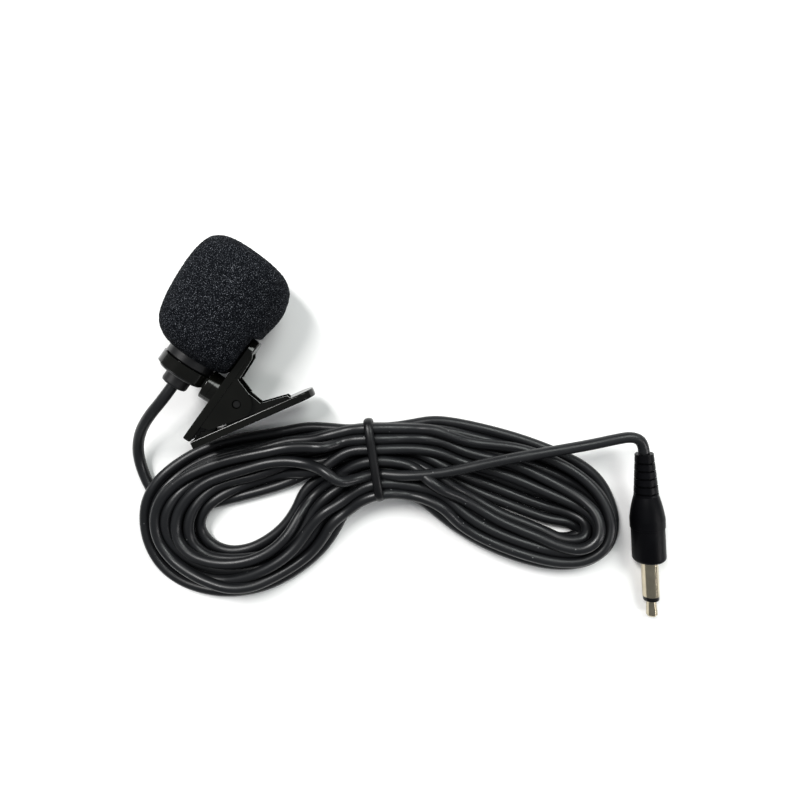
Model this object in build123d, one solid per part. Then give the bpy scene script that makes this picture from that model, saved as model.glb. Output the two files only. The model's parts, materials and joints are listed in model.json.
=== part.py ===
from build123d import *
from math import cos, radians, sin, tan
import os

# A clip-on (lavalier) microphone lying on a table: foam windscreen, electret capsule in a
# two-part housing, swivelling spring clip, and a thin lead tied in a hank with a moulded
# 3.5 mm mono plug on its far end. All dimensions are in millimetres.
#
# Row frame: +Z up from the table, +Y along the microphone towards the windscreen's front.
# The origin is the middle of the microphone and clip, on the table.
#
# Microphone frame: Y runs along the microphone's axis from the rear face of the cable
# bushing, Z is up. The clip's frame is the same one leaned over about that axis, with X
# running from the axis through the clip. The lay frame is for the lead: its origin is on
# the table under the tie, with X along the hank.

os.makedirs("parts", exist_ok=True)

# ---- driving dimensions -------------------------------------------------------------
FOAM_R = 10.7              # windscreen, widest radius
FOAM_REAR = 7.3            # where the windscreen's rear face meets the barrel
FOAM_FRONT = 31.9          # its domed front
FOAM_BORE_END = 27.4
FOAM_FLAT = 7.65           # distance from the axis of the flat that the clip's lever presses
FOAM_FLAT_END = 17.8

BARREL_R = 5.0
NECK_R = 4.3
NECK_REAR = 3.0
NECK_FRONT = 5.4
HOUSING_SPLIT = 13.0
SPIGOT_R = 4.3
SPIGOT_END = 16.0
REAR_BORE_R = 3.5
FRONT_BORE_R = 4.35
HOUSING_FRONT = 27.0
FRONT_WALL = 0.8
GRILLE_HOLE_R = 0.45
GRILLE_CIRCLE_R = 2.3
GRILLE_HOLES = 6

BUSHING_R = 2.65
BUSHING_FLANGE_R = 3.4
CAP_R = 4.6
CAP_REAR = 2.45
CAP_SPIGOT_END = 5.2

CAPSULE_R = 3.0
CAPSULE_REAR = 22.8
CAPSULE_FRONT = 25.5
CAN_WALL = 0.2
BOARD_FRONT = 23.6

RING_R = 5.25
RING_GAP = 0.05            # play of the holder ring on the neck, all round
BOSS_R = 3.1
BOSS_Y = 4.0
BOSS_INNER = 5.15
BOSS_SPLIT = 6.6           # plane where the two swivel discs meet
RIVET_R = 1.1
RIVET_HEAD_R = 1.8

CLIP_LEAN = 10.0           # degrees that the clip drops below level
JAW_OUTER = 7.8            # upper plate, face towards the microphone
JAW_THICK = 1.6
JAW_WIDTH = 8.0
JAW_MOUTH_Y = -6.9
JAW_LEVER_Y = 16.9
JAW_ANGLE = 31.0           # between the two plates with the mouth closed
LOWER_THICK = 1.6
LOWER_LENGTH = 26.3
PIVOT = (12.5, 4.4)        # jaw pin, in the clip frame's X and Y
PIN_R = 0.85
PIN_HALF = 3.4
EAR_R = 3.0
EAR_IN = 2.95
EAR_OUT = 3.75
LOWER_EAR_R = 2.7
LOWER_EAR_IN = 1.95
LOWER_EAR_OUT = 2.85
TOOTH_PITCH = 1.3
TOOTH_DEPTH = 0.5
TEETH = 4
SPRING_WIRE = 0.6
SPRING_R = 1.5

CORD_D = 2.3
CORD_R = CORD_D / 2
TIE_WIDTH = 1.9
TIE_THICK = 1.2
TIE_SLANT = 9.0            # degrees that the band leans along the hank
TIE_X = -0.8

PLUG_R = 1.75              # standard 3.5 mm plug
SLEEVE_TAIL_R = 1.45       # the part of its sleeve inside the grip
SLEEVE_LENGTH = 8.1
RING_LENGTH = 0.9
BLADE_LENGTH = 12.8
GRIP_R = 3.45
GRIP_LENGTH = 9.4
SHOULDER_END = 14.4
RELIEF_END = 23.4
RELIEF_GROOVES = 5
GROOVE_WIDTH = 0.4
GROOVE_DEPTH = 0.35

# ---- where the three groups stand ---------------------------------------------------
MIC = Location((-6.68, -12.15, FOAM_R + 0.01))
CLIP = MIC * Location((0, 0, 0), (0, CLIP_LEAN, 0))
LAY = Location((35.62, -0.85, 0), (0, 0, 35.4))
PLUG_FACE = (57.95, -21.8, GRIP_R + 0.15)       # front of the grip, in the lay frame
PLUG_DROOP = 8.9
PLUG_YAW = 6.5

made = {}


def keep(name, solid, place=Location()):
    """Move a solid to its place in the row frame and file it under its node's name."""
    made[name] = place * solid


def point_at(place, x, y, z=0):
    """Where a point of a local frame lies in the frame that the place is given in."""
    return (place * Location((x, y, z))).position


def turned(*outline):
    """Solid of revolution about Y from (radius, y) corners."""
    return revolve(make_face(Polyline(*outline, close=True)), Axis.Y)


def rod(radius, start, end, x=0, z=0):
    """Cylinder along Y between two stations."""
    return turned((0, start), (radius, start), (radius, end), (0, end)).moved(Location((x, 0, z)))


def ring(outer, inner, start, end):
    """Plain ring about Y between two stations."""
    return turned((inner, start), (outer, start), (outer, end), (inner, end))


def across(radius, start, end, y):
    """Cylinder along the clip frame's X, centred on station y."""
    face = Plane(origin=(start, y, 0), z_dir=(1, 0, 0)) * Circle(radius)
    return extrude(face, end - start)


def wall(outline, inner, outer):
    """Pair of plates cut to an outline of (x, y) corners, one each side of the XY plane."""
    face = make_face(Polyline(*outline, close=True))
    upper = extrude(face, outer - inner).moved(Location((0, 0, inner)))
    return upper + mirror(upper, Plane.XY)


def disc_pair(centre, radius, inner, outer):
    """Pair of round plates, one each side of the XY plane."""
    face = Location(centre) * Circle(radius)
    upper = extrude(face, outer - inner).moved(Location((0, 0, inner)))
    return upper + mirror(upper, Plane.XY)


def slab(outline, width):
    """Prism on an outline of (x, y) corners, centred on the XY plane."""
    return extrude(make_face(Polyline(*outline, close=True)), width / 2, both=True)


# ---- windscreen ---------------------------------------------------------------------
def foam_windscreen():
    bore_r = BARREL_R + 0.08
    outline = [
        Polyline((bore_r, FOAM_BORE_END), (bore_r, FOAM_REAR), (7.0, 8.1)),
        ThreePointArc((7.0, 8.1), (9.4, 9.8), (10.3, 12.9)),
        ThreePointArc((10.3, 12.9), (FOAM_R, 19.0), (10.4, 25.2)),
        ThreePointArc((10.4, 25.2), (9.3, 29.1), (6.2, 31.2)),
        Polyline((6.2, 31.2), (2.5, FOAM_FRONT), (0, FOAM_FRONT), (0, FOAM_BORE_END), (bore_r, FOAM_BORE_END)),
    ]
    body = revolve(make_face(outline), Axis.Y)
    pressed = [
        (FOAM_FLAT, FOAM_REAR - 2),
        (FOAM_FLAT, FOAM_FLAT_END),
        (FOAM_FLAT + 5, FOAM_FLAT_END + 5),
        (FOAM_FLAT + 5, FOAM_REAR - 2),
    ]
    keep("foam_windscreen", body - slab(pressed, 2 * FOAM_R), CLIP)


# ---- housing ------------------------------------------------------------------------
def rear_housing():
    shell = turned(
        (REAR_BORE_R, NECK_REAR),
        (NECK_R, NECK_REAR),
        (NECK_R, NECK_FRONT),
        (BARREL_R - 0.3, NECK_FRONT),
        (BARREL_R, NECK_FRONT + 0.3),
        (BARREL_R, HOUSING_SPLIT),
        (SPIGOT_R, HOUSING_SPLIT),
        (SPIGOT_R, SPIGOT_END),
        (REAR_BORE_R, SPIGOT_END),
    )
    keep("rear_housing", shell, MIC)


def front_housing():
    inner_end = HOUSING_FRONT - FRONT_WALL
    shell = turned(
        (FRONT_BORE_R, HOUSING_SPLIT),
        (BARREL_R, HOUSING_SPLIT),
        (BARREL_R, HOUSING_FRONT - 0.5),
        (BARREL_R - 0.5, HOUSING_FRONT),
        (0, HOUSING_FRONT),
        (0, inner_end),
        (FRONT_BORE_R, inner_end),
    )
    places = [(0, 0)]
    for i in range(GRILLE_HOLES):
        turn = radians(360 * i / GRILLE_HOLES)
        places.append((GRILLE_CIRCLE_R * cos(turn), GRILLE_CIRCLE_R * sin(turn)))
    for x, z in places:
        shell -= rod(GRILLE_HOLE_R, inner_end - 1, HOUSING_FRONT + 1, x, z)
    keep("front_housing", shell, MIC)


def rear_cap():
    cap = turned(
        (BUSHING_R + 0.03, CAP_REAR),
        (CAP_R - 0.2, CAP_REAR),
        (CAP_R, CAP_REAR + 0.2),
        (CAP_R, NECK_REAR),
        (REAR_BORE_R - 0.03, NECK_REAR),
        (REAR_BORE_R - 0.03, CAP_SPIGOT_END),
        (BUSHING_R + 0.03, CAP_SPIGOT_END),
    )
    keep("rear_cap", cap, MIC)


def cable_bushing():
    bore_r = CORD_R + 0.02
    bushing = turned(
        (bore_r, 0),
        (BUSHING_R - 0.5, 0),
        (BUSHING_R - 0.15, 0.15),
        (BUSHING_R, 0.5),
        (BUSHING_R, CAP_SPIGOT_END),
        (BUSHING_FLANGE_R, CAP_SPIGOT_END),
        (BUSHING_FLANGE_R, CAP_SPIGOT_END + 1.1),
        (bore_r, CAP_SPIGOT_END + 1.1),
    )
    keep("cable_bushing", bushing, MIC)


# ---- electret capsule ---------------------------------------------------------------
def capsule():
    can_r = CAPSULE_R - CAN_WALL
    film = CAPSULE_FRONT - 0.55
    boot = turned(
        (CAPSULE_R + 0.03, CAPSULE_REAR - 1.6),
        (FRONT_BORE_R - 0.03, CAPSULE_REAR - 1.6),
        (FRONT_BORE_R - 0.03, HOUSING_FRONT - FRONT_WALL),
        (2.25, HOUSING_FRONT - FRONT_WALL),
        (2.25, CAPSULE_FRONT),
        (CAPSULE_R + 0.03, CAPSULE_FRONT),
    )
    can = turned(
        (can_r - 0.3, CAPSULE_REAR),
        (CAPSULE_R, CAPSULE_REAR),
        (CAPSULE_R, CAPSULE_FRONT),
        (0.8, CAPSULE_FRONT),
        (0.8, CAPSULE_FRONT - 0.25),
        (can_r, CAPSULE_FRONT - 0.25),
        (can_r, CAPSULE_REAR + CAN_WALL),
        (can_r - 0.3, CAPSULE_REAR + CAN_WALL),
    )
    backplate = rod(2.45, film - 0.5, film - 0.15)
    for i in range(4):
        turn = radians(45 + 90 * i)
        backplate -= rod(0.25, film - 1, film, 1.4 * cos(turn), 1.4 * sin(turn))
    chamber = turned(
        (2.05, BOARD_FRONT),
        (can_r - 0.02, BOARD_FRONT),
        (can_r - 0.02, film - 0.15),
        (2.48, film - 0.15),
        (2.48, film - 0.5),
        (2.05, film - 0.5),
    )
    keep("capsule_boot", boot, MIC)
    keep("capsule_can", can, MIC)
    keep("capsule_dust_felt", rod(2.2, CAPSULE_FRONT, CAPSULE_FRONT + 0.4), MIC)
    keep("diaphragm_ring", ring(can_r - 0.02, 2.3, film + 0.05, CAPSULE_FRONT - 0.25), MIC)
    keep("diaphragm", rod(can_r - 0.02, film, film + 0.05), MIC)
    keep("capsule_spacer", ring(can_r - 0.02, 2.35, film - 0.15, film), MIC)
    keep("backplate", backplate, MIC)
    keep("capsule_chamber", chamber, MIC)
    keep("gate_ring", ring(2.0, 1.7, BOARD_FRONT, film - 0.5), MIC)


def capsule_electronics():
    board_rear = CAPSULE_REAR + CAN_WALL
    chip = Box(1.4, 0.55, 1.0).moved(Location((0, BOARD_FRONT + 0.275, 0)))
    keep("circuit_board", rod(CAPSULE_R - CAN_WALL - 0.02, board_rear, BOARD_FRONT), MIC)
    keep("jfet_chip", chip, MIC)
    joints = []
    wires = []
    for side in (-1, 1):
        dome = Sphere(0.55) & Box(2, 1.1, 2).moved(Location((0, -0.55, 0)))
        joints.append(dome.moved(Location((side, board_rear, 0))))
        route = [(side, board_rear - 0.5, 0), (side * 1.1, 16, 0), (side * 0.55, 12, 0), (side * 0.55, 8.8, 0)]
        wires.append(tube(route, 0.6, [8, 8]))
    keep("solder_joints", Compound(joints), MIC)
    keep("signal_wire", wires[0], MIC)
    keep("shield_wire", wires[1], MIC)
    keep("cord_stopper", ring(2.3, CORD_R + 0.01, 6.5, 8.2), MIC)
    keep("cable_tail", rod(CORD_R, 0, 8.8), MIC)


# ---- clip ---------------------------------------------------------------------------
def holder_ring():
    band = ring(RING_R, NECK_R + RING_GAP, NECK_REAR + RING_GAP, NECK_FRONT - RING_GAP)
    web_length = NECK_FRONT - NECK_REAR - 2 * RING_GAP
    web = Box(1.2, web_length, 4.4).moved(Location((5.2, (NECK_FRONT + NECK_REAR) / 2, 0)))
    boss = across(BOSS_R, BOSS_INNER, BOSS_SPLIT, BOSS_Y)
    boss = fillet(boss.edges().sort_by(Axis.X)[0], 0.25)
    body = band + web + boss
    body -= rod(NECK_R + RING_GAP, 0, 10)
    body -= across(RIVET_R, 4, BOSS_SPLIT + 1, BOSS_Y)
    keep("holder_ring", body, CLIP)


def swivel_rivet():
    jaw_inner = JAW_OUTER + JAW_THICK
    shank = across(RIVET_R, BOSS_INNER, jaw_inner + 0.05, BOSS_Y)
    head = across(RIVET_HEAD_R, jaw_inner + 0.05, jaw_inner + 0.6, BOSS_Y)
    head = fillet(head.edges().sort_by(Axis.X)[-1], 0.25)
    keep("swivel_rivet", shank + head, CLIP)


def tooth_line(gap):
    """Zigzag between the closed jaws, set off from it by a gap: (x, y) corners."""
    half = radians(JAW_ANGLE / 2)
    points = []
    for i in range(2 * TEETH + 1):
        along = i * TOOTH_PITCH / 2
        off = gap + (TOOTH_DEPTH / 2 if i % 2 else -TOOTH_DEPTH / 2) * min(1, i / 3)
        x = JAW_OUTER + JAW_THICK + along * sin(half) + off * cos(half)
        y = JAW_MOUTH_Y + 0.1 + along * cos(half) - off * sin(half)
        points.append((x, y))
    return points


def upper_jaw():
    inner = JAW_OUTER + JAW_THICK
    length = JAW_LEVER_Y - JAW_MOUTH_Y
    plate = Box(JAW_THICK, length, JAW_WIDTH)
    plate = plate.moved(Location((JAW_OUTER + JAW_THICK / 2, JAW_MOUTH_Y + length / 2, 0)))
    lever_corners = plate.edges().filter_by(Axis.X).group_by(Axis.Y)[-1]
    plate = fillet(lever_corners, 2.6)
    plate = fillet(plate.edges().group_by(Axis.X)[0] + plate.edges().group_by(Axis.X)[-1], 0.3)
    ear = [
        (inner - 0.5, -3.4),
        (11.1, -2.8),
        (15.15, 3.1),
        (15.3, 5.3),
        (13.2, 7.5),
        (inner + 0.6, 8.6),
        (inner - 0.5, 9.6),
    ]
    rib = [(inner - 0.5, 8.8), (inner + 0.75, 8.8), (inner + 0.5, 13.6), (inner - 0.5, 15.2)]
    pad = [(inner - 0.5, JAW_MOUTH_Y + 0.4)] + tooth_line(-0.06)[1:]
    pad += [(inner - 0.5, pad[-1][1] + 0.3)]
    disc = across(BOSS_R, BOSS_SPLIT + 0.05, JAW_OUTER + 0.5, BOSS_Y)
    body = plate + disc + slab(pad, 2 * LOWER_EAR_OUT) + wall(rib, EAR_IN, EAR_OUT)
    body += wall(ear, EAR_IN, EAR_OUT) + disc_pair(PIVOT, EAR_R, EAR_IN, EAR_OUT)
    body -= across(RIVET_R + 0.05, BOSS_SPLIT - 1, inner + 1, BOSS_Y)
    body -= disc_pair(PIVOT, PIN_R + 0.02, 0, EAR_OUT + 1)
    keep("upper_jaw", body, CLIP)


def lower_jaw():
    """Drawn in its own frame: x along the plate from its mouth corner, y towards the other jaw."""
    lever = LOWER_LENGTH
    plate = Box(lever, LOWER_THICK, JAW_WIDTH).moved(Location((lever / 2, LOWER_THICK / 2, 0)))
    plate = fillet(plate.edges().filter_by(Axis.Y).group_by(Axis.X)[-1], 3.2)
    plate = fillet(plate.edges().group_by(Axis.Y)[0] + plate.edges().group_by(Axis.Y)[-1], 0.3)
    place = lower_jaw_frame()
    pivot = point_at(place.inverse(), *PIVOT)
    ear = [
        (7.4, LOWER_THICK - 0.5),
        (8.6, 4.6),
        (13.2, 6.6),
        (14.1, 5.9),
        (15.5, 2.95),
        (21.0, 2.2),
        (21.6, LOWER_THICK - 0.5),
    ]
    body = plate + wall(ear, LOWER_EAR_IN, LOWER_EAR_OUT)
    body += disc_pair((pivot.X, pivot.Y), LOWER_EAR_R, LOWER_EAR_IN, LOWER_EAR_OUT)
    body -= disc_pair((pivot.X, pivot.Y), PIN_R + 0.06, 0, EAR_OUT)
    rest = place * body
    sunk = radians(JAW_ANGLE)
    teeth = tooth_line(0.06)[1:]
    root = [(x + 0.9 * cos(sunk), y - 0.9 * sin(sunk)) for x, y in (teeth[-1], teeth[0])]
    last = (teeth[-1][0] + 1.4, teeth[-1][1] - 0.3)
    rest += slab(teeth + [last, root[1]], 2 * LOWER_EAR_OUT)
    keep("lower_jaw", rest, CLIP)


def lower_jaw_frame():
    """Frame of the lower jaw: origin at its outer mouth corner, x along its plate."""
    corner = (JAW_OUTER + JAW_THICK + LOWER_THICK * cos(radians(JAW_ANGLE)), JAW_MOUTH_Y - 0.8)
    return Location((*corner, 0), (0, 0, 90 - JAW_ANGLE))


def jaw_pin():
    pin = extrude(Location(PIVOT) * Circle(PIN_R), PIN_HALF, both=True)
    pin = chamfer(pin.edges(), 0.15)
    keep("jaw_pin", pin, CLIP)


def jaw_spring():
    """Close-wound torsion spring on the pin, with one arm on each plate."""
    wire_r = SPRING_WIRE / 2
    pitch = SPRING_WIRE - 0.04
    body = None
    for i in range(-1, 2):
        turn = Location((*PIVOT, i * pitch)) * Torus(SPRING_R, wire_r)
        body = turn if body is None else body + turn
    inner = JAW_OUTER + JAW_THICK
    upper_start = (PIVOT[0] - SPRING_R, PIVOT[1], pitch)
    upper_end = (inner + wire_r + 0.05, -0.9, pitch)
    place = lower_jaw_frame()
    pivot = point_at(place.inverse(), *PIVOT)
    lower_start = point_at(place, pivot.X, pivot.Y - SPRING_R, -pitch)
    lower_end = point_at(place, 6.4, LOWER_THICK + wire_r + 0.05, -pitch)
    for start, end in ((upper_start, upper_end), (lower_start, lower_end)):
        body += tube([start, end], SPRING_WIRE, [])
    keep("jaw_spring", body, CLIP)


# ---- lead ---------------------------------------------------------------------------
def tube(route, diameter, radii):
    """Round tube along straight runs joined by tangent arcs."""
    path = FilletPolyline(*route, radius=radii) if radii else Line(*route)
    section = Plane(origin=path @ 0, z_dir=path % 0) * Circle(diameter / 2)
    return sweep(section, path=path)


def cord_radii(name, route):
    """Each corner's arc: as large as its two runs allow."""
    radii = []
    points = [Vector(*p) for p in route]
    for before, here, after in zip(points, points[1:], points[2:]):
        shorter = min((here - before).length, (after - here).length)
        half_turn = radians((here - before).get_angle(after - here)) / 2
        radii.append(0.45 * shorter / tan(half_turn))
    print(name, "arc radii", [round(r, 1) for r in radii])
    return radii


def in_row_frame(place, points):
    return [tuple(point_at(place, *p)) for p in points]


def mic_lead():
    """From the bushing down to the table and under the hank's left loop."""
    route = in_row_frame(MIC, [
        (0, 0, 0),
        (0, -3.6, 0),
        (-1.0, -8.2, -1.8),
        (-1.6, -12.9, -4.7),
        (-0.8, -17.2, -7.5),
        (2.0, -20.8, -9.2),
        (7.2, -23.9, -9.5),
    ])
    keep("mic_lead", tube(route, CORD_D, cord_radii("mic_lead", route)))


def plug_frame():
    """Frame of the plug: origin at the front of its grip, Z towards the tip."""
    level = radians(PLUG_DROOP)
    yaw = radians(PLUG_YAW)
    tip_way = (sin(yaw) * cos(level), -cos(yaw) * cos(level), -sin(level))
    place = Plane(origin=PLUG_FACE, z_dir=tip_way, x_dir=(cos(yaw), sin(yaw), 0))
    return LAY * place.location


def plug_lead():
    """From the tie over the hank's right loop, then round into the plug's strain relief."""
    plug = LAY.inverse() * plug_frame()
    entry = [tuple(point_at(plug, 0, 0, -RELIEF_END - back)) for back in (2.4, 0)]
    route = in_row_frame(LAY, [
        (5.0, -3.6, 6.6),
        (13.6, -3.0, 6.9),
        (25.0, -0.3, 7.1),
        (37.5, 1.8, 7.2),
        (44.8, 3.1, 7.4),
        (49.3, 4.15, 7.7),
        (52.7, 4.75, 7.9),
    ] + entry)
    keep("plug_lead", tube(route, CORD_D, cord_radii("plug_lead", route)))


def cable_hank():
    """The tied hank's outer shape: an open left loop, a closed right loop and the tied waist."""
    left_outer = Spline(
        (-2.0, 7.0), (-14.0, 6.3), (-28.0, 3.6), (-39.6, 0.9), (-48.0, -6.6), (-50.7, -16.6),
        (-45.0, -26.4), (-32.2, -30.5), (-18.6, -25.8), (-9.0, -17.8), (-2.0, -9.0),
    )
    left_hole = Spline(
        (-37.0, -13.6), (-33.4, -9.8), (-24.5, -8.0), (-15.6, -4.6), (-19.0, -10.4),
        (-24.8, -16.2), (-31.5, -18.5), (-35.8, -16.9), (-37.0, -13.6),
    )
    right_outer = Spline(
        (2.0, -7.6), (10.5, -8.9), (21.0, -17.0), (30.0, -22.4), (40.5, -24.0), (48.2, -22.0),
        (51.6, -16.0), (51.7, -8.0), (46.5, -0.8), (34.0, 4.6), (18.0, 7.7), (2.0, 7.4),
    )
    left = extrude(make_face([left_outer, Line(left_outer @ 1, left_outer @ 0)]), 3.6)
    left -= extrude(make_face(left_hole), 3.6)
    right = extrude(make_face([right_outer, Line(right_outer @ 1, right_outer @ 0)]), 5.2)
    waist = Box(13.0, 15.4, 7.6).moved(Location((0, -0.3, 3.8)))
    waist = fillet(waist.edges().filter_by(Axis.X).group_by(Axis.Z)[-1], 2.5)
    slant = Location((TIE_X, -0.3, 0), (0, 0, TIE_SLANT))
    core = tie_opening(slant)
    groove = slant * Box(TIE_WIDTH + 0.4, 30, 20) - core
    keep("cable_hank", left + right + waist - groove, LAY)
    band = slant * extrude(Plane.YZ * tie_section(TIE_THICK), TIE_WIDTH / 2, both=True) - core
    keep("hank_tie_band", band, LAY)


def tie_section(grow):
    """Rounded outline of the bundle where the band grips it, grown on every side."""
    low = TIE_THICK + 0.05
    high = 7.2
    face = RectangleRounded(15.6 + 2 * grow, high - low + 2 * grow, 2.4 + grow)
    return Location((0, (low + high) / 2)) * face


def tie_opening(slant):
    return slant * extrude(Plane.YZ * tie_section(0), 5, both=True)


# ---- plug ---------------------------------------------------------------------------
def plug():
    place = plug_frame()
    up = Location((0, 0, 0), (90, 0, 0))           # turns about Y become turns about Z
    tip_start = SLEEVE_LENGTH + RING_LENGTH
    rod_rear = -7.6
    sleeve = ring(PLUG_R, 1.25, 0, SLEEVE_LENGTH)
    sleeve += ring(SLEEVE_TAIL_R, 1.25, -4.6, 0) + ring(2.4, 1.25, -2.2, -0.9)
    insulator = turned(
        (0.75, -5.8), (1.2, -5.8), (1.2, SLEEVE_LENGTH), (PLUG_R - 0.03, SLEEVE_LENGTH),
        (PLUG_R - 0.1, tip_start), (0.75, tip_start),
    )
    tip = turned(
        (0, rod_rear), (0.7, rod_rear), (0.7, tip_start), (1.1, tip_start), (1.0, tip_start + 0.5),
        (1.2, BLADE_LENGTH - 0.35), (1.0, BLADE_LENGTH), (0, BLADE_LENGTH),
    )
    hole_r = SLEEVE_TAIL_R + 0.02
    premould = turned(
        (0, -9.4), (2.0, -9.4), (2.65, -8.4), (2.65, -0.85), (2.45, -0.85), (2.45, -2.25),
        (hole_r, -2.25), (hole_r, -4.65), (1.25, -4.65), (1.25, -5.85),
        (0.74, -5.85), (0.74, -7.65), (0, -7.65),
    )
    keep("plug_sleeve", up * sleeve, place)
    keep("plug_insulator", up * insulator, place)
    keep("plug_tip", up * tip, place)
    keep("plug_premould", up * premould, place)
    keep("plug_boot", up * (plug_boot_outline() - premould_space()), place)


def premould_space():
    return turned(
        (0, -RELIEF_END + 2), (CORD_R + 0.02, -RELIEF_END + 2), (CORD_R + 0.02, -9.45),
        (2.05, -9.45), (2.7, -8.45), (2.7, -0.8), (PLUG_R + 0.03, -0.8), (PLUG_R + 0.03, 1), (0, 1),
    )


def plug_boot_outline():
    """Grip with a raised rear band, tapering shoulder and ribbed strain relief, in one piece."""
    neck = -SHOULDER_END
    profile = [
        Polyline((0, 0), (GRIP_R - 0.9, 0)),
        ThreePointArc((GRIP_R - 0.9, 0), (GRIP_R - 0.25, -0.25), (GRIP_R, -0.9)),
        Polyline(
            (GRIP_R, -0.9), (GRIP_R - 0.05, 2.0 - GRIP_LENGTH), (GRIP_R + 0.1, 1.9 - GRIP_LENGTH),
            (GRIP_R + 0.1, -GRIP_LENGTH),
        ),
        ThreePointArc((GRIP_R + 0.1, -GRIP_LENGTH), (3.15, -0.5 * (GRIP_LENGTH + SHOULDER_END)), (2.5, neck)),
        Polyline((2.5, neck), (1.85, -RELIEF_END), (0, -RELIEF_END), (0, 0)),
    ]
    body = revolve(make_face(profile), Axis.Y)
    pitch = (RELIEF_END - SHOULDER_END) / (RELIEF_GROOVES + 0.5)
    for i in range(RELIEF_GROOVES):
        station = neck - (0.4 + i) * pitch
        floor_r = 2.45 - 0.6 * (0.4 + i) / RELIEF_GROOVES - GROOVE_DEPTH
        body -= ring(4, floor_r, station - GROOVE_WIDTH / 2, station + GROOVE_WIDTH / 2)
    return body


# ---- build and write ----------------------------------------------------------------
for build in (
    foam_windscreen, rear_housing, front_housing, rear_cap, cable_bushing, capsule,
    capsule_electronics, holder_ring, swivel_rivet, upper_jaw, lower_jaw, jaw_pin, jaw_spring,
    mic_lead, plug_lead, cable_hank, plug,
):
    build()

for name, solid in made.items():
    export_step(solid, f"parts/{name}.step")
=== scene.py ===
import json
import math

import bpy
import numpy as np
from mathutils import Matrix, Vector


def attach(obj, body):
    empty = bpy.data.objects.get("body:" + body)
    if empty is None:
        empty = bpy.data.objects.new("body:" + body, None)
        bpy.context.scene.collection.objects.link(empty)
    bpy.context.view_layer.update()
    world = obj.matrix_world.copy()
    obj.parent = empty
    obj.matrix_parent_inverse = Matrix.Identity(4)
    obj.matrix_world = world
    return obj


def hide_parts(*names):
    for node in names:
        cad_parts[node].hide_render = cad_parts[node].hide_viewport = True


# Looks for a clip-on lavalier microphone lying on a table with its lead tied in a hank.
# Everything is in metres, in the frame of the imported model: +Y along the microphone towards
# the windscreen's front, +Z up. The lay frame has its origin on the table under the tie and
# X along the hank; the microphone and its leaned clip have frames of their own.

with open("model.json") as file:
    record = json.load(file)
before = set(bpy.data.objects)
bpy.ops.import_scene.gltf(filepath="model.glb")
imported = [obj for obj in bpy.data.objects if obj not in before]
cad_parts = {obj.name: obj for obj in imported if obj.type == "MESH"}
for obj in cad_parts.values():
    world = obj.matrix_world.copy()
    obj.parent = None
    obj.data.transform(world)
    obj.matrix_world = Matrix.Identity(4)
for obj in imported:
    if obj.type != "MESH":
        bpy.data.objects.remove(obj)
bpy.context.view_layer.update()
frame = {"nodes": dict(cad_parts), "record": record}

# ---- driving dimensions -------------------------------------------------------------
MIC_ORIGIN = (-0.00668, -0.01215, 0.01071)
CLIP_LEAN = math.radians(10.0)
LAY_ORIGIN = (0.03562, -0.00085, 0.0)
LAY_TURN = math.radians(35.4)

CAMERA_PLACE = (0.03232, 0.01185, 0.128)
CAMERA_LENS = 26.19                  # millimetres, on a 36 mm sensor
SENSOR_WIDTH = 36.0

CORD_D = 0.0023
CORD_R = CORD_D / 2
RELIEF_BACK = 0.02745                # from the middle of the plug's barrel to its relief's end
RELIEF_RUN = 0.0024                  # straight run of the lead before the relief
TURNS = 10
TIE_X = -0.0008
TIE_Y = -0.0003
TIE_SLANT = math.radians(9.0)
SLOT_PITCH = 0.0022                  # between the columns of strands in the tie
SLOT_LAYER = 0.00205                 # between their layers
SLOT_FLOOR = 0.0024                  # height of the lowest layer
SLOT_REACH = 0.0024                  # held by the tie, to each side of its middle
GUIDE_REACH = 0.0078                 # still guided by the squeezed bundle, to each side
GUIDE_LAYER = 0.0018
BAND_WIDTH = 0.0019
BAND_THICK = 0.0011
BAND_SQUARENESS = 0.42               # 1 gives an oval loop, 0 a box

FOAM_CELL = 0.00042

FLOOR_HALF = 1.5
FLOOR_DROP = 0.00005                 # keeps the floor just under the parts that touch it

MIC = Matrix.Translation(MIC_ORIGIN)
CLIP = MIC @ Matrix.Rotation(CLIP_LEAN, 4, "Y")
LAY = Matrix.Translation(LAY_ORIGIN) @ Matrix.Rotation(LAY_TURN, 4, "Z")


def from_frame(place, points):
    """Points given in one of the frames above, in the model's own frame."""
    return [place @ Vector(p) for p in points]


# ---- stage --------------------------------------------------------------------------
def camera():
    """Camera straight above the table, turned with the hank."""
    data = bpy.data.cameras.new("camera")
    data.sensor_width = SENSOR_WIDTH
    data.lens = CAMERA_LENS
    data.clip_start = 0.005
    cam = bpy.data.objects.new("camera", data)
    cam.location = CAMERA_PLACE
    cam.rotation_euler = (0, 0, LAY_TURN)
    bpy.context.scene.collection.objects.link(cam)
    bpy.context.scene.camera = cam


def area_light(name, place, size, energy, colour):
    """Soft box placed in the camera's own axes, aimed at the middle of the view."""
    data = bpy.data.lights.new(name, "AREA")
    data.shape = "RECTANGLE"
    data.size = size[0]
    data.size_y = size[1]
    data.energy = energy
    data.color = colour
    lamp = bpy.data.objects.new(name, data)
    middle = Vector((CAMERA_PLACE[0], CAMERA_PLACE[1], 0))
    offset = Matrix.Rotation(LAY_TURN, 4, "Z") @ Vector(place)
    lamp.location = middle + offset
    lamp.rotation_euler = (-offset).to_track_quat("-Z", "Y").to_euler()
    bpy.context.scene.collection.objects.link(lamp)


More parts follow.
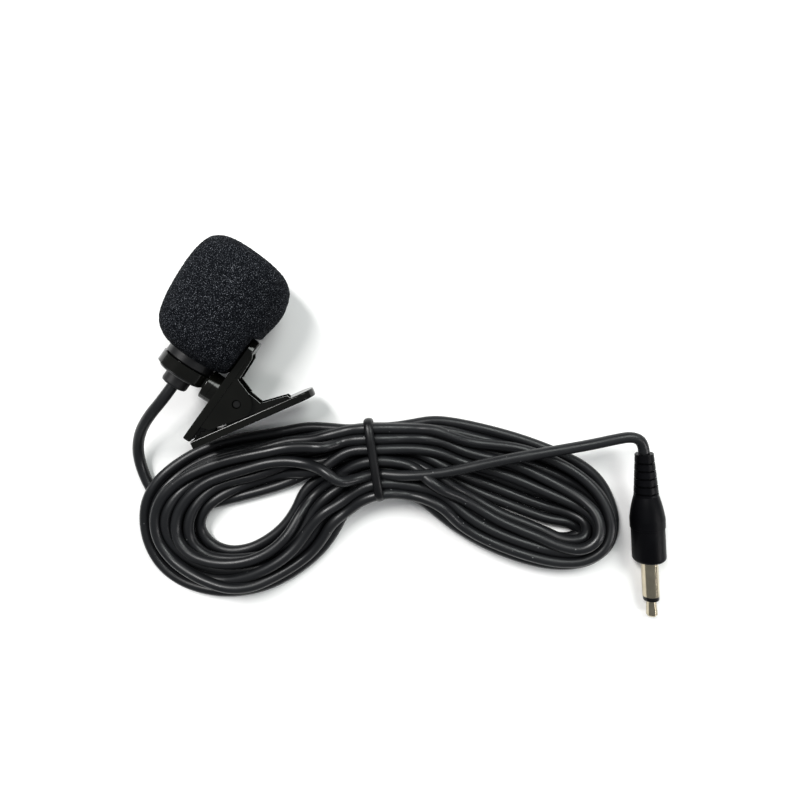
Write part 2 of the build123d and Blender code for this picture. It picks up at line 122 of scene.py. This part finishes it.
def studio():
    """White paper floor, an even pale surround and three soft boxes."""
    mesh = bpy.data.meshes.new("floor")
    half = FLOOR_HALF
    mesh.from_pydata(
        [(-half, -half, 0), (half, -half, 0), (half, half, 0), (-half, half, 0)], [], [(0, 1, 2, 3)]
    )
    floor = bpy.data.objects.new("floor", mesh)
    floor.location = (0, 0, -FLOOR_DROP)
    bpy.context.scene.collection.objects.link(floor)
    paper = bpy.data.materials.new("paper")
    paper.use_nodes = True
    shader = paper.node_tree.nodes["Principled BSDF"]
    shader.inputs["Base Color"].default_value = (0.93, 0.93, 0.925, 1)
    shader.inputs["Roughness"].default_value = 0.9
    mesh.materials.append(paper)
    world = bpy.data.worlds.new("studio")
    world.use_nodes = True
    background = world.node_tree.nodes["Background"]
    background.inputs["Color"].default_value = (0.93, 0.97, 1.0, 1)
    background.inputs["Strength"].default_value = 0.35
    bpy.context.scene.world = world
    view = bpy.context.scene.view_settings
    view.view_transform = "Standard"
    view.look = "Medium High Contrast"
    view.exposure = -0.42
    area_light("key", (-0.22, 0.25, 0.46), (0.12, 0.30), 3.3, (1.0, 0.99, 0.98))
    area_light("fill", (0.26, 0.30, 0.50), (0.30, 0.30), 2.4, (0.96, 1.0, 0.97))
    area_light("side", (0.44, -0.16, 0.30), (0.10, 0.30), 0.9, (1.0, 0.97, 0.97))


# ---- lead ---------------------------------------------------------------------------
# Stations round each loop of the hank in the lay frame, as an outermost and an innermost
# place of a turn's centre line. The right loop runs from the tie's upper side round to its
# lower side, and the left loop from the lower side back to the upper one.
RIGHT_LOOP = [
    ((0.0161, 0.0056), (0.0145, -0.0046)),
    ((0.0245, 0.0049), (0.0220, -0.0082)),
    ((0.0325, 0.0035), (0.0290, -0.0117)),
    ((0.0400, 0.0004), (0.0358, -0.0143)),
    ((0.0462, -0.0032), (0.0412, -0.0156)),
    ((0.0498, -0.0080), (0.0443, -0.0162)),
    ((0.0504, -0.0140), (0.0440, -0.0188)),
    ((0.0486, -0.0190), (0.0412, -0.0198)),
    ((0.0430, -0.0220), (0.0350, -0.0165)),
    ((0.0355, -0.0228), (0.0283, -0.0129)),
    ((0.0280, -0.0209), (0.0212, -0.0101)),
    ((0.0206, -0.0163), (0.0148, -0.0064)),
    ((0.0135, -0.0106), (0.0112, -0.0048)),
]
LEFT_LOOP = [
    ((-0.0112, -0.0174), (-0.0128, -0.0062)),
    ((-0.0166, -0.0227), (-0.0160, -0.0112)),
    ((-0.0238, -0.0266), (-0.0200, -0.0165)),
    ((-0.0310, -0.0283), (-0.0258, -0.0200)),
    ((-0.0388, -0.0274), (-0.0320, -0.0208)),
    ((-0.0455, -0.0240), (-0.0362, -0.0187)),
    ((-0.0490, -0.0184), (-0.0386, -0.0158)),
    ((-0.0494, -0.0116), (-0.0384, -0.0123)),
    ((-0.0462, -0.0050), (-0.0356, -0.0092)),
    ((-0.0402, 0.0001), (-0.0306, -0.0074)),
    ((-0.0316, 0.0025), (-0.0236, -0.0054)),
    ((-0.0218, 0.0040), (-0.0162, -0.0029)),
    ((-0.0127, 0.0046), (-0.0095, -0.0009)),
]
# From under the left loop's end to the tie, and the last strand's way over all the others.
FIRST_STRAND = [
    (-0.0478, -0.0102),
    (-0.0440, -0.0117),
    (-0.0395, -0.0108),
    (-0.0345, -0.0093),
    (-0.0290, -0.0076),
    (-0.0235, -0.0058),
    (-0.0160, -0.0034),
    (-0.0090, -0.0016),
]
LAST_STRAND = [
    (-0.0436, -0.0120),
    (-0.0400, -0.0076),
    (-0.0353, -0.0048),
    (-0.0300, -0.0033),
    (-0.0246, -0.0010),
    (-0.0193, -0.0002),
    (-0.0137, -0.0021),
    (-0.0080, -0.0033),
]
# Where each turn runs in its loop, from 0 outside to 1 inside, at the loop's start and end.
RIGHT_LANES = (
    (0.97, 0.80), (0.66, 0.48), (0.32, 0.10), (0.00, 0.16), (0.10, 0.36),
    (0.42, 0.68), (0.74, 0.95), (0.62, 0.45), (0.16, 0.22), (0.34, 0.90),
)
LEFT_LANES = (
    (0.72, 0.74), (0.42, 0.38), (0.04, 0.02), (0.12, 0.12), (0.36, 0.44),
    (0.70, 0.80), (1.00, 0.90), (0.40, 0.16), (0.18, 0.34), (0.88, 0.50),
)
# Slot in the tie of each pass: (column from the middle, layer from the bottom).
UPPER_SLOTS = (
    (0, 0), (1, 0), (2, 0), (3, 0), (3, 1), (2, 1), (1, 1), (1, 2), (3, 2), (2, 2), (-1.2, 2),
)
LOWER_SLOTS = (
    (-1, 0), (-2, 0), (-3, 0), (-3, 1), (-2, 1), (-1, 1), (0, 1), (-2.15, 2), (-3.1, 2), (-0.1, 2),
)
LAYER_GAP = 0.0011                   # how far above the one before each turn starts
LANE_WANDER = 0.03                   # share of the way across the loop
COIL_SEED = 11
COIL_STEP = 0.0016
COIL_KEPT = 3                        # one settled place in so many becomes a point of the curve

SETTLING_STEPS = 340
CLEARING_STEPS = 50                  # at the end, without the drop and the pull back
DROP = 0.00005                       # how far the turns fall in a step
PULL_BACK = 0.08                     # share of the way back to where a turn started, from above
STIFFNESS = 0.08
PUSH_SHARE = 0.45                    # share of an overlap that each strand gives way by
STRETCH_SHARE = 0.25
NEAR = 2.2 * CORD_D                  # strands closer than this are tested for touching

MIC_LEAD = [
    (0, 0, 0),
    (0, -0.0036, 0),
    (-0.0010, -0.0082, -0.0018),
    (-0.0016, -0.0129, -0.0047),
    (-0.0008, -0.0172, -0.0075),
    (0.0020, -0.0208, -0.0092),
    (0.0072, -0.0239, -0.0095),
]
PLUG_LEAD = [
    (0.0050, -0.0036, 0.0072),
    (0.0136, -0.0030, 0.0075),
    (0.0250, -0.0003, 0.0075),
    (0.0375, 0.0018, 0.0074),
    (0.0448, 0.0031, 0.0074),
    (0.0493, 0.00415, 0.0077),
    (0.0527, 0.00475, 0.0079),
]


def lane_points(loop, lanes, height, rng):
    """A turn's places round one loop, drifting from one lane to another with a slow wander."""
    swing = rng.uniform(0, 2 * math.pi)
    points = []
    for i, (outer, inner) in enumerate(loop):
        lane = lanes[0] + (lanes[1] - lanes[0]) * i / (len(loop) - 1)
        here = min(1.0, max(0.0, lane + LANE_WANDER * math.sin(swing + 0.7 * i)))
        x = outer[0] + (inner[0] - outer[0]) * here
        y = outer[1] + (inner[1] - outer[1]) * here
        points.append((x, y, height))
    return points


def slot_points(slot, is_upper):
    """A pass through the tie, with a place where the squeezed bundle still guides it at each side."""
    column, layer = slot
    y = TIE_Y + column * SLOT_PITCH
    z = SLOT_FLOOR + layer * SLOT_LAYER
    middle = TIE_X - y * math.tan(TIE_SLANT)
    through = [(middle - SLOT_REACH, y + 0.12 * min(y, 0), z), (middle + SLOT_REACH, y, z)]
    if is_upper and column < 0:
        return through
    guide_z = CORD_R + 0.0001 + layer * GUIDE_LAYER
    if is_upper:
        left_y = -0.0006 + 0.0020 * column
        right_y = TIE_Y + 0.00215 * column
    else:
        left_y = -0.0034 + 0.0029 * column
        right_y = -0.0016 + 0.0021 * column
    points = [(-GUIDE_REACH, left_y, guide_z)] + through + [(GUIDE_REACH, right_y, guide_z)]
    return points if is_upper else points[::-1]


def coil_route(rng):
    """Corner points of the whole coil in the lay frame, and which of them the tie holds."""
    points = [(x, y, CORD_R) for x, y in FIRST_STRAND]
    held = [False] * len(points)
    for turn in range(TURNS):
        height = CORD_R + 0.001 + turn * LAYER_GAP
        left = lane_points(LEFT_LOOP, LEFT_LANES[turn], height + LAYER_GAP / 2, rng)
        if turn == TURNS - 1:
            left = left[:7] + [(x, y, height + 3 * LAYER_GAP) for x, y in LAST_STRAND]
        for part, is_held in (
            (slot_points(UPPER_SLOTS[turn], True), True),
            (lane_points(RIGHT_LOOP, RIGHT_LANES[turn], height, rng), False),
            (slot_points(LOWER_SLOTS[turn], False), True),
            (left, False),
        ):
            points += part
            held += [is_held] * len(part)
    points += slot_points(UPPER_SLOTS[TURNS], True)
    held += [True, True]
    return np.array(points), np.array(held)


def along_route(points, held, step):
    """Evenly spaced places on a smooth line through the corner points, and which are held."""
    padded = np.vstack([points[0], points, points[-1]])
    line = []
    pins = []
    for i in range(len(points) - 1):
        before, here, there, after = padded[i : i + 4]
        count = max(2, int(np.linalg.norm(there - here) / step * 4))
        t = np.linspace(0, 1, count, endpoint=False)[:, None]
        line.append(
            0.5 * (2 * here + (there - before) * t + (2 * before - 5 * here + 4 * there - after) * t**2
                   + (3 * here - before - 3 * there + after) * t**3)
        )
        pins += [bool(held[i] and held[i + 1])] * count
    line = np.vstack(line)
    pins = np.array(pins)
    travel = np.concatenate([[0], np.cumsum(np.linalg.norm(np.diff(line, axis=0), axis=1))])
    stations = np.arange(0, travel[-1], step)
    even = np.stack([np.interp(stations, travel, line[:, k]) for k in range(3)], axis=1)
    return even, pins[np.searchsorted(travel, stations).clip(0, len(pins) - 1)]


def close_pairs(q, skip, reach):
    """Pairs of places that are near each other but not neighbours along the cord."""
    square = (q**2).sum(1)
    gap = square[:, None] + square[None, :] - 2 * q @ q.T
    first, second = np.nonzero(np.triu(gap < reach**2, skip))
    return first, second


def settle(q, pins, steps):
    """Lets the stacked turns fall on each other and the table, and pushes crossing ones apart."""
    start = q.copy()
    spacing = np.linalg.norm(np.diff(q, axis=0), axis=1).mean()
    skip = int(4 * CORD_D / spacing)
    free = ~pins
    rest_length = np.linalg.norm(np.diff(start, axis=0), axis=1)
    for step in range(steps):
        if step % 10 == 0:
            first, second = close_pairs(q, skip, NEAR)
        if step < steps - CLEARING_STEPS:
            q[free, 2] -= DROP
            q[free, :2] += PULL_BACK * (start[free, :2] - q[free, :2])
        for _ in range(3):
            bend = q[:-4] - 4 * q[1:-3] + 6 * q[2:-2] - 4 * q[3:-1] + q[4:]
            q[2:-2] -= STIFFNESS * bend * free[2:-2, None]
        for _ in range(5):
            between = q[second] - q[first]
            far = np.linalg.norm(between, axis=1) + 1e-9
            deep = np.clip(CORD_D - far, 0, None)
            push = between / far[:, None] * (PUSH_SHARE * deep)[:, None]
            moved = np.zeros_like(q)
            hits = np.ones(len(q))
            np.add.at(moved, first, -push)
            np.add.at(moved, second, push)
            np.add.at(hits, first, (deep > 0) * 0.5)
            np.add.at(hits, second, (deep > 0) * 0.5)
            q += moved / hits[:, None] * free[:, None]
            link = np.diff(q, axis=0)
            size = np.linalg.norm(link, axis=1)
            stretch = link * ((size - rest_length) / size * STRETCH_SHARE)[:, None]
            q[:-1] += stretch * free[:-1, None]
            q[1:] -= stretch * free[1:, None]
            q[:, 2] = np.maximum(q[:, 2], CORD_R)
    return q


def cord(material):
    """The whole lead as one curve: out of the bushing, round the settled hank and to the plug."""
    rng = np.random.default_rng(COIL_SEED)
    route, held = coil_route(rng)
    line, pins = along_route(route, held, COIL_STEP)
    lead = [LAY.inverted() @ p for p in from_frame(MIC, MIC_LEAD)]
    lead_line, _ = along_route(np.array(lead[-3:]), np.zeros(3, bool), COIL_STEP)
    whole = np.vstack([lead_line, line])
    pins = np.concatenate([np.ones(len(lead_line), bool), pins])
    settled = settle(whole, pins, SETTLING_STEPS)[len(lead_line) :]
    coil = settled[COIL_KEPT::COIL_KEPT]
    mount = next(m for m in frame["record"]["mounts"] if m["name"] == "plug")
    tip_way = Vector(mount["axis"])
    relief_end = Vector(mount["pos_m"]) - tip_way * RELIEF_BACK
    points = from_frame(MIC, MIC_LEAD) + from_frame(LAY, coil) + from_frame(LAY, PLUG_LEAD)
    points += [relief_end - tip_way * RELIEF_RUN, relief_end]
    curve = bpy.data.curves.new("lead", "CURVE")
    curve.dimensions = "3D"
    spline = curve.splines.new("NURBS")
    spline.points.add(len(points) - 1)
    for point, place in zip(spline.points, points):
        point.co = (*place, 1)
    spline.order_u = 3
    spline.use_endpoint_u = True
    curve.resolution_u = 5
    curve.bevel_depth = CORD_R
    curve.bevel_resolution = 5
    curve.materials.append(material)
    piece = bpy.data.objects.new("lead", curve)
    bpy.context.scene.collection.objects.link(piece)
    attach(piece, "mic")
    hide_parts("mic_lead", "cable_hank", "plug_lead")


# ---- mesh helpers -------------------------------------------------------------------
def mesh_piece(name, verts, faces, material, body, replaced):
    """A smooth mesh that rides on a body in place of the CAD nodes it replaces."""
    mesh = bpy.data.meshes.new(name)
    mesh.from_pydata([tuple(v) for v in verts], [], faces)
    mesh.validate()
    mesh.materials.append(material)
    for polygon in mesh.polygons:
        polygon.use_smooth = True
    piece = bpy.data.objects.new(name, mesh)
    bpy.context.scene.collection.objects.link(piece)
    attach(piece, body)
    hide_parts(*replaced)
    return piece


def grid_faces(rows, columns):
    """Quads of a grid that closes round its columns."""
    faces = []
    for i in range(rows - 1):
        for j in range(columns):
            k = (j + 1) % columns
            low = i * columns
            high = (i + 1) * columns
            faces.append((low + j, low + k, high + k, high + j))
    return faces


# ---- tie band -----------------------------------------------------------------------
def hank_band(material):
    """Rubber ring pulled round the bundle: an oval section swept round a rounded box."""
    half_y = 3.5 * SLOT_PITCH + 0.0001
    low = SLOT_FLOOR - CORD_R
    high = SLOT_FLOOR + 2 * SLOT_LAYER + CORD_R
    around = 96
    section = 16
    centre = Vector((TIE_X, TIE_Y, (low + high) / 2))
    half_z = (high - low) / 2
    place = LAY @ Matrix.Translation(centre) @ Matrix.Rotation(TIE_SLANT, 4, "Z")
    verts = []
    for i in range(around):
        turn = 2 * math.pi * i / around
        y = math.copysign(abs(math.cos(turn)) ** BAND_SQUARENESS, math.cos(turn))
        z = math.copysign(abs(math.sin(turn)) ** BAND_SQUARENESS, math.sin(turn))
        out = Vector((0, y * abs(y) * half_z, z * abs(z) * half_y)).normalized()
        core = Vector((0, y * half_y, z * half_z))
        thick = BAND_THICK / 2
        for j in range(section):
            phase = 2 * math.pi * j / section
            side = BAND_WIDTH / 2 * math.cos(phase)
            lift = thick + thick * math.sin(phase)
            verts.append(place @ (core + out * lift + Vector((side, 0, 0))))
    faces = grid_faces(around, section)
    last = (around - 1) * section
    for j in range(section):
        k = (j + 1) % section
        faces.append((last + j, last + k, k, j))
    mesh_piece("hank_band", verts, faces, material, "mic", ["hank_tie_band"])


# ---- windscreen ---------------------------------------------------------------------
FOAM_PROFILE = [
    (0.00505, 0.0110), (0.00505, 0.0078), (0.0054, 0.0073), (0.0066, 0.0076), (0.0082, 0.0086),
    (0.0095, 0.0103), (0.0102, 0.0127), (0.0106, 0.0160), (0.0107, 0.0195), (0.0106, 0.0232),
    (0.0102, 0.0260), (0.0093, 0.0285), (0.0076, 0.0301), (0.0055, 0.0309), (0.0028, 0.03125),
    (0.0, 0.0313),
]
FOAM_REAR = 0.0073
FOAM_FLAT = 0.00765                  # from the microphone's axis to the lever's flat on the foam
FOAM_FLAT_END = 0.0170
FOAM_FLAT_EDGE = 0.0011              # how softly the flat runs out into the ball
FOAM_SKEW = 0.05                     # lean of the ball away from the clip
FOAM_BULGE = 0.0011                  # how far the foam swells out past the lever's end
FOAM_ROWS = 210
FOAM_AROUND = 300
FOAM_POLE = 0.00002                  # radius of the small face that closes the front


def smooth_profile(points, count):
    """Evenly spaced places on a smooth line through the outline's points."""
    corners = np.array([(p[0], p[1], 0) for p in points])
    step = np.linalg.norm(np.diff(corners, axis=0), axis=1).sum() / count
    line, _ = along_route(corners, np.zeros(len(corners), bool), step)
    return line[:, :2]


def foam(material):
    """Open-cell foam ball: a turned skin, dented by the clip's lever, with real pits and struts."""
    profile = smooth_profile(FOAM_PROFILE, FOAM_ROWS)
    around = FOAM_AROUND
    angle = np.linspace(0, 2 * math.pi, around, endpoint=False)
    radius = np.maximum(profile[:, 0], FOAM_POLE)
    x = radius[:, None] * np.cos(angle)[None, :]
    z = radius[:, None] * np.sin(angle)[None, :]
    y = np.repeat(profile[:, 1][:, None], around, axis=1)
    x = x - FOAM_SKEW * (y - FOAM_REAR)
    past = np.clip(y - FOAM_FLAT_END, 0, None)
    limit = FOAM_FLAT + np.minimum(FOAM_BULGE, 2.2 * past) + 0.25 * past
    over = x - limit
    soft = FOAM_FLAT_EDGE
    x = np.where(over > -soft, limit - soft * np.exp(-(over + soft) / soft), x)
    verts = np.stack([x, y, z], axis=2).reshape(-1, 3)
    verts = [CLIP @ Vector(v) for v in verts]
    pole = len(profile) - 1
    faces = grid_faces(len(profile), around)
    faces.append(tuple(pole * around + j for j in range(around)))
    faces.append(tuple(reversed(range(around))))
    piece = mesh_piece("windscreen", verts, faces, material, "windscreen", ["foam_windscreen"])
    cells = bpy.data.textures.new("foam_cells", "VORONOI")
    cells.noise_scale = FOAM_CELL
    cells.distance_metric = "DISTANCE"
    pits = piece.modifiers.new("cells", "DISPLACE")
    pits.texture = cells
    pits.texture_coords = "LOCAL"
    pits.strength = -0.0002
    pits.mid_level = 0.4


# ---- materials ----------------------------------------------------------------------
def material(name, colour, roughness, specular=0.5, metallic=0.0, coat=0.0):
    """A plain Principled material, for the functions below to add detail to."""
    made = bpy.data.materials.new(name)
    made.use_nodes = True
    shader = made.node_tree.nodes["Principled BSDF"]
    shader.inputs["Base Color"].default_value = (*colour, 1)
    shader.inputs["Roughness"].default_value = roughness
    shader.inputs["Specular IOR Level"].default_value = specular
    shader.inputs["Metallic"].default_value = metallic
    shader.inputs["Coat Weight"].default_value = coat
    return made


def texture(made, kind, scale, **values):
    """A noise or Voronoi texture on object coordinates."""
    nodes = made.node_tree.nodes
    links = made.node_tree.links
    coords = nodes.get("Texture Coordinate") or nodes.new("ShaderNodeTexCoord")
    node = nodes.new(kind)
    node.inputs["Scale"].default_value = scale
    for key, value in values.items():
        node.inputs[key].default_value = value
    links.new(coords.outputs["Object"], node.inputs["Vector"])
    return node


def ramp(made, source, stops):
    """Colours or values along a texture's output: a list of (place, colour)."""
    node = made.node_tree.nodes.new("ShaderNodeValToRGB")
    while len(node.color_ramp.elements) < len(stops):
        node.color_ramp.elements.new(0.5)
    for element, (place, colour) in zip(node.color_ramp.elements, stops):
        element.position = place
        element.color = (*colour, 1)
    made.node_tree.links.new(source, node.inputs["Fac"])
    return node


def grey(value):
    return (value, value, value)


def drive(made, node, output, socket):
    """Links a node's output to a socket of the material's shader."""
    shader = made.node_tree.nodes["Principled BSDF"]
    made.node_tree.links.new(node.outputs[output], shader.inputs[socket])


def bump(made, node, output, distance, strength=1.0):
    relief = made.node_tree.nodes.new("ShaderNodeBump")
    relief.inputs["Distance"].default_value = distance
    relief.inputs["Strength"].default_value = strength
    made.node_tree.links.new(node.outputs[output], relief.inputs["Height"])
    drive(made, relief, "Normal", "Normal")


def foam_material():
    """Near-black foam with dark pores, and painted highlights: bright specks in its base colour stand in
    for glints on its cell walls.
    """
    made = material("foam", (0.004, 0.0045, 0.006), 0.65, specular=0.02)
    cells = texture(made, "ShaderNodeTexVoronoi", 1 / FOAM_CELL)
    # painted highlight: the brightest stop of the ramp below paints pale grey glint specks into the base
    # colour
    painted_glints = texture(made, "ShaderNodeTexNoise", 2.6 / FOAM_CELL, Detail=1.0)
    tone = ramp(made, painted_glints.outputs["Fac"], [
        (0.0, (0.002, 0.002, 0.003)), (0.52, (0.006, 0.007, 0.009)), (0.64, (0.040, 0.043, 0.050)),
        (0.74, (0.24, 0.25, 0.27)),
    ])
    drive(made, tone, "Color", "Base Color")
    bump(made, cells, "Distance", 0.00012, 0.8)
    return made


def pvc_material(name, colour, roughness, dust, specular=0.5):
    """Soft PVC or rubber: faint flow marks, patches of skin oil and specks of dust."""
    made = material(name, colour, roughness, specular=specular)
    patches = texture(made, "ShaderNodeTexNoise", 240, Detail=4.0)
    shine = ramp(made, patches.outputs["Fac"], [
        (0.3, grey(roughness - 0.06)), (0.7, grey(roughness + 0.08)),
    ])
    drive(made, shine, "Color", "Roughness")
    specks = texture(made, "ShaderNodeTexVoronoi", 420, Randomness=1.0)
    speck = tuple(min(1.0, dust + c) for c in colour)
    tone = ramp(made, specks.outputs["Distance"], [
        (0.0, speck), (0.035, speck), (0.06, colour), (1.0, colour),
    ])
    drive(made, tone, "Color", "Base Color")
    grain = texture(made, "ShaderNodeTexNoise", 5200, Detail=2.0)
    bump(made, grain, "Fac", 0.000012)
    return made


def plastic_material(name, colour, roughness, grain_size, depth, coat=0.0, specular=0.3):
    """Moulded plastic: fine texture from the tool and slightly uneven gloss."""
    made = material(name, colour, roughness, specular=specular, coat=coat)
    patches = texture(made, "ShaderNodeTexNoise", 160, Detail=5.0)
    shine = ramp(made, patches.outputs["Fac"], [
        (0.3, grey(roughness - 0.05)), (0.75, grey(roughness + 0.10)),
    ])
    drive(made, shine, "Color", "Roughness")
    tone = ramp(made, patches.outputs["Fac"], [
        (0.2, tuple(0.8 * c for c in colour)), (0.8, tuple(1.3 * c for c in colour)),
    ])
    drive(made, tone, "Color", "Base Color")
    grain = texture(made, "ShaderNodeTexNoise", 1 / grain_size, Detail=3.0)
    bump(made, grain, "Fac", depth)
    return made


def metal_material(name, colour, roughness):
    """Plated or drawn metal with fine scratches and a little tarnish."""
    made = material(name, colour, roughness, metallic=1.0)
    tarnish = texture(made, "ShaderNodeTexNoise", 420, Detail=6.0)
    tone = ramp(made, tarnish.outputs["Fac"], [
        (0.3, tuple(0.82 * c for c in colour)), (0.7, colour),
    ])
    drive(made, tone, "Color", "Base Color")
    shine = ramp(made, tarnish.outputs["Fac"], [(0.3, grey(roughness + 0.10)), (0.7, grey(roughness))])
    drive(made, shine, "Color", "Roughness")
    return made


def finishes():
    """One finished material for each of the record's material slots."""
    return {
        "foam": foam_material(),
        "housing_plastic": plastic_material(
            "housing_plastic", (0.008, 0.008, 0.009), 0.30, 0.00025, 0.000012, specular=0.6
        ),
        "clip_plastic": plastic_material("clip_plastic", (0.005, 0.005, 0.004), 0.16, 0.0009, 0.00002, 0.3),
        "bushing_rubber": pvc_material("bushing_rubber", (0.012, 0.012, 0.013), 0.42, 0.0),
        "cord_pvc": pvc_material("cord_pvc", (0.012, 0.0125, 0.014), 0.36, 0.20),
        "tie_rubber": pvc_material("tie_rubber", (0.006, 0.006, 0.007), 0.36, 0.05, 0.35),
        "boot_pvc": plastic_material(
            "boot_pvc", (0.003, 0.003, 0.004), 0.38, 0.0003, 0.000015, specular=0.14
        ),
        "contact_nickel": metal_material("contact_nickel", (0.58, 0.52, 0.40), 0.12),
        "insulator_black": plastic_material(
            "insulator_black", (0.008, 0.008, 0.008), 0.25, 0.0003, 0.000005
        ),
        "insulator_white": plastic_material("insulator_white", (0.62, 0.62, 0.58), 0.5, 0.0003, 0.00001),
        "can_aluminium": metal_material("can_aluminium", (0.75, 0.75, 0.77), 0.30),
        "spring_steel": metal_material("spring_steel", (0.55, 0.55, 0.56), 0.28),
        "pin_steel": metal_material("pin_steel", (0.05, 0.05, 0.05), 0.35),
        "brass_ring": metal_material("brass_ring", (0.78, 0.60, 0.28), 0.30),
        "film": metal_material("film", (0.72, 0.70, 0.62), 0.12),
        "felt": pvc_material("felt", (0.02, 0.02, 0.02), 0.85, 0.0),
        "board": plastic_material("board", (0.02, 0.12, 0.05), 0.4, 0.0004, 0.00001),
        "chip_resin": plastic_material("chip_resin", (0.015, 0.015, 0.015), 0.45, 0.0002, 0.00001),
        "solder": metal_material("solder", (0.70, 0.70, 0.72), 0.25),
        "wire_red": plastic_material("wire_red", (0.45, 0.02, 0.02), 0.35, 0.0004, 0.000005),
        "wire_copper": metal_material("wire_copper", (0.85, 0.45, 0.28), 0.30),
    }


def finish_cad_nodes(looks):
    """Every CAD node takes the finished material of its slot in the record."""
    for entry in frame["record"]["subparts"]:
        mesh = frame["nodes"][entry["node"]].data
        mesh.materials.clear()
        mesh.materials.append(looks[entry["material_slot"]])


# ---- build --------------------------------------------------------------------------
camera()
studio()
looks = finishes()
finish_cad_nodes(looks)
hank_band(looks["tie_rubber"])
cord(looks["cord_pvc"])
foam(looks["foam"])
